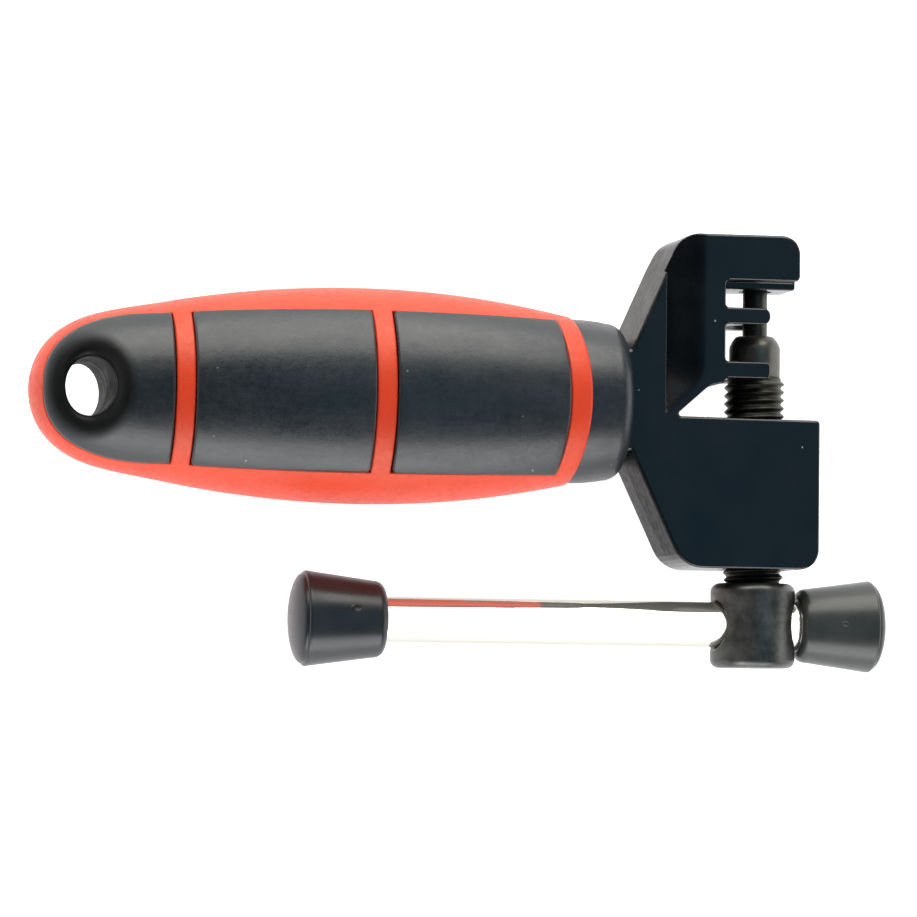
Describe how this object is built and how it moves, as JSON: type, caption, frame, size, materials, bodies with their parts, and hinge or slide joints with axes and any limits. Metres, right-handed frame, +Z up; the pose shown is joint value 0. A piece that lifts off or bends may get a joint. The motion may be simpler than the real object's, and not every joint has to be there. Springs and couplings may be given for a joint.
{
  "type": "chain tool",
  "caption": "Bicycle chain rivet tool: steel C-frame with chain cradles, a screw-driven pin turned by a sliding tommy bar, and a round red and black moulded grip with a hanging hole.",
  "frame": {"origin": "centre of the bottom of the box round the tool as it lies on its side on a bench, with the grip and the screw level", "axes": "+X along the grip from the butt to the jaw; +Y along the screw from the tommy bar to the jaw; +Z up, across the frame's thickness"},
  "size_m": [0.1142, 0.057, 0.0287],
  "materials": {
    "frame_steel": "semi-matte blue-black paint on a steel casting",
    "core_plastic": "matte, hidden",
    "red_grip": "satin red overmould",
    "black_grip": "satin black soft plastic",
    "dark_steel": "black oxide, oiled",
    "bare_steel": "dull grey steel",
    "chrome_bar": "polished chrome",
    "knob_plastic": "satin black plastic"
  },
  "bodies": {
    "tool": {"frame": "frame_steel", "handle_core": "core_plastic", "grip_cage": "red_grip", "butt_pad_front": "black_grip", "butt_pad_back": "black_grip", "mid_pad_front": "black_grip", "mid_pad_back": "black_grip", "fore_pad_front": "black_grip", "fore_pad_back": "black_grip", "neck_collar": "black_grip", "hang_hole_liner": "black_grip"},
    "pin": {"driver_pin": "dark_steel"},
    "screw": {"spindle_screw": "dark_steel", "pin_nose": "bare_steel"},
    "bar": {"tommy_bar": "chrome_bar", "knob_left": "knob_plastic", "knob_right": "knob_plastic"}
  },
  "joints": [
    {"name": "screw_feed", "type": "slide", "parent": "tool", "child": "pin", "axis": [0, 1, 0], "range_m": [-0.01482, 0.0016]},
    {"name": "screw_turn", "type": "hinge", "parent": "pin", "child": "screw", "pos_m": [0.0387, 0.00653, 0.01435], "axis": [0, 1, 0], "range_deg": [-5040, 540]},
    {"name": "bar_slide", "type": "slide", "parent": "screw", "child": "bar", "axis": [1, 0, 0], "range_m": [0, 0.0432]}
  ],
  "couplings": [
    {"joint": "screw_feed", "follows": "screw_turn", "m_per_rad": 0.00016839}
  ]
}
